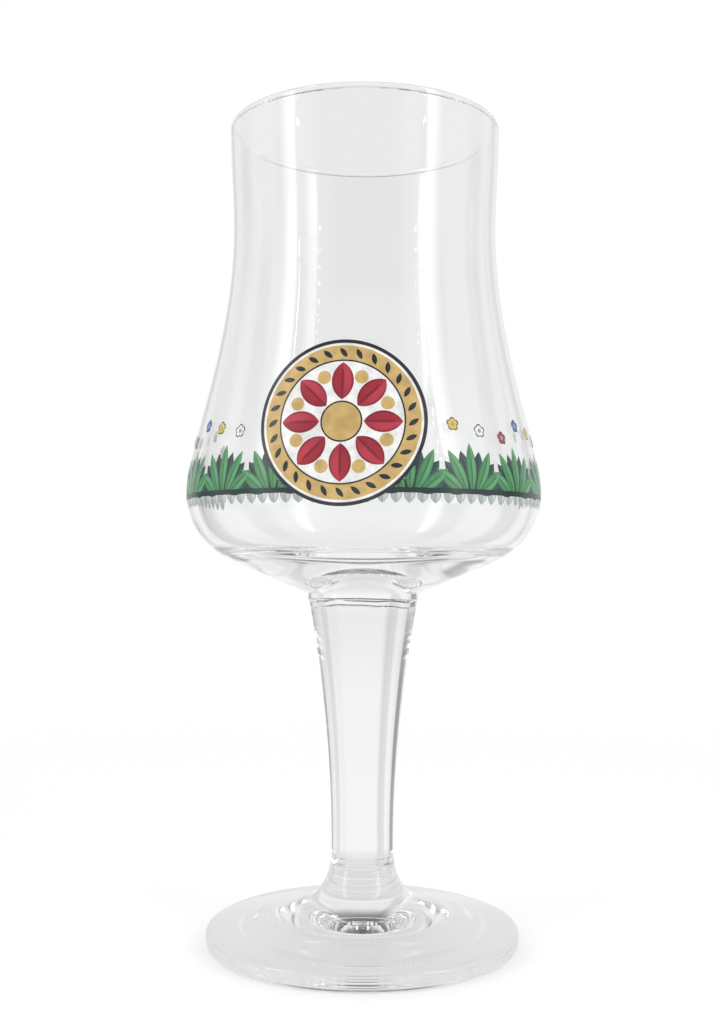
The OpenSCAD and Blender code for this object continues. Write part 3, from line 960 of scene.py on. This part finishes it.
class GLASS_OT_studio(Operator):
    """Set up the floor, the surroundings, the lights and the camera"""

    bl_idname = "glass.studio"
    bl_label = "Studio"

    def execute(self, context):
        scene = context.scene
        studio = scene.studio_settings
        self.floor(studio)
        self.sky(scene, studio)
        self.panels(studio)
        self.camera(scene, studio)
        scene.view_settings.view_transform = "Standard"
        scene.cycles.max_bounces = BOUNCES
        scene.cycles.transmission_bounces = BOUNCES
        scene.cycles.glossy_bounces = BOUNCES
        scene.cycles.transparent_max_bounces = 24
        return {"FINISHED"}

    def floor(self, studio):
        """A pale matt floor that keeps the shadow near the glass and fades into the white distance."""
        bm = bmesh.new()
        bmesh.ops.create_circle(bm, cap_ends=True, cap_tris=True, segments=96, radius=FLOOR_R)
        mesh = bpy.data.meshes.new("floor")
        bm.to_mesh(mesh)
        bm.free()
        material, finish = new_finish("floor_paint")
        away = finish.made("ShaderNodeVectorMath", {"operation": "LENGTH"}, {0: finish.place()}, "Value")
        matt = finish.principled({
            "Base Color": (0.8, 0.8, 0.8, 1), "Roughness": 0.9, "Specular IOR Level": 0.1,
            "Emission Color": (1, 1, 1, 1), "Emission Strength": 0.34,
        })
        white = finish.made("ShaderNodeEmission", inputs={"Color": (1, 1, 1, 1), "Strength": 1.0})
        distant = finish.made("ShaderNodeMixShader", inputs={0: away.ramp(*WHITE_FLOOR), 1: matt, 2: white})
        far = away.ramp(*GLASS_FLOOR)
        shown = finish.made("ShaderNodeEmission", inputs={
            "Color": far * surroundings(finish, finish.place(), studio) + (1 - far) * studio.floor_near,
        })
        finish.surface(finish.made(
            "ShaderNodeMixShader", inputs={0: seen_by_glass(finish), 1: distant, 2: shown}
        ))
        mesh.materials.append(material)
        floor = bpy.data.objects.new("floor", mesh)
        bpy.context.scene.collection.objects.link(floor)

    def sky(self, scene, studio):
        """White behind everything, a plain fill on matt surfaces, and pale surroundings in the glass."""
        world = bpy.data.worlds.new("studio")
        scene.world = world
        finish = Finish(world)
        path = finish.add("ShaderNodeLightPath")
        camera = finish.out(path, "Is Camera Ray")
        glass = seen_by_glass(finish)
        direction = finish.made("ShaderNodeTexCoord", name="Generated")
        overhead = finish.parts(direction)[2].ramp(studio.top_low, studio.top_high) * studio.sky_top
        shown = surroundings(finish, direction, studio) * (1 - overhead)
        level = camera + glass * shown + (1 - camera - glass) * studio.sky_fill
        backdrop = finish.made("ShaderNodeBackground", inputs={"Color": level})
        finish.add("ShaderNodeOutputWorld", inputs={"Surface": backdrop})

    def panels(self, studio):
        """On each side of the camera a soft upright panel, with a row of small lamps at its inner edge."""
        for side in (-1, 1):
            light = bpy.data.lights.new("panel", "AREA")
            light.shape = "RECTANGLE"
            light.size, light.size_y = studio.panel_w, studio.panel_h
            light.energy = studio.panel_power
            finish = Finish(light)
            across, along, _ = finish.parts(finish.made("ShaderNodeNewGeometry", name="Parametric"))
            inward = across if side < 0 else 1 - across
            soft = inward.ramp(0.0, GLOW_FULL) * inward.fade(GLOW_FALLS, GLOW_ENDS)
            soft = soft * abs(along - 0.5).fade(GLOW_TALL, 0.5)
            step = along.math("FRACT", along * studio.lamp_count)
            lamps = abs(inward - LAMP_ROW).fade(*LAMP_WIDE) * abs(step - 0.5).fade(*LAMP_TALL)
            bright = soft * studio.panel_soft + lamps * studio.panel_lamp
            glow = finish.made("ShaderNodeEmission", inputs={"Color": bright, "Strength": 1.0})
            finish.add("ShaderNodeOutputLight", inputs={"Surface": glow})
            panel = bpy.data.objects.new("panel", light)
            bpy.context.scene.collection.objects.link(panel)
            turn = studio.panel_middle + side * studio.panel_turn
            panel.location = standing(studio.panel_far, turn, studio.panel_z)
            panel.rotation_euler = (math.pi / 2, 0, turn)
            panel.visible_camera = False

    def camera(self, scene, studio):
        data = bpy.data.cameras.new("camera")
        data.lens = studio.lens
        data.shift_x = -studio.axis_right
        data.shift_y = studio.horizon_drop
        camera = bpy.data.objects.new("camera", data)
        scene.collection.objects.link(camera)
        turn = studio.camera_turn
        camera.location = standing(studio.camera_d, turn, studio.camera_z)
        upright = Euler((math.pi / 2, 0, turn)).to_matrix()
        camera.rotation_euler = (upright @ Matrix.Rotation(studio.camera_roll, 3, "Z")).to_euler()
        scene.camera = camera


class GLASS_PT_builder(Panel):
    """Lists the steps and the sizes of the glass"""

    bl_idname = "GLASS_PT_builder"
    bl_label = "Tulip glass"
    bl_space_type = "VIEW_3D"
    bl_region_type = "UI"
    bl_category = "Glass"

    def draw(self, context):
        for operator in OPERATORS:
            self.layout.operator(operator.bl_idname)
        for group in SETTINGS:
            box = self.layout.box()
            settings = getattr(context.scene, group)
            for key in settings.bl_rna.properties.keys():
                if key not in ("rna_type", "name"):
                    box.prop(settings, key)


SETTINGS = {
    "glass_sizes": GlassSizes,
    "print_sizes": PrintSizes,
    "print_colours": PrintColours,
    "studio_settings": StudioSettings,
}
OPERATORS = (GLASS_OT_clear_glass, GLASS_OT_medallion, GLASS_OT_frieze, GLASS_OT_blossoms, GLASS_OT_studio)


def register():
    for group in SETTINGS.values():
        bpy.utils.register_class(group)
    for operator in OPERATORS:
        bpy.utils.register_class(operator)
    bpy.utils.register_class(GLASS_PT_builder)
    for name, group in SETTINGS.items():
        setattr(bpy.types.Scene, name, PointerProperty(type=group))


def unregister():
    for name in SETTINGS:
        delattr(bpy.types.Scene, name)
    bpy.utils.unregister_class(GLASS_PT_builder)
    for operator in reversed(OPERATORS):
        bpy.utils.unregister_class(operator)
    for group in reversed(SETTINGS.values()):
        bpy.utils.unregister_class(group)


def main():
    register()
    bpy.ops.glass.clear_glass()
    bpy.ops.glass.medallion()
    bpy.ops.glass.frieze()
    bpy.ops.glass.blossoms()
    bpy.ops.glass.studio()


if __name__ == "__main__":
    main()
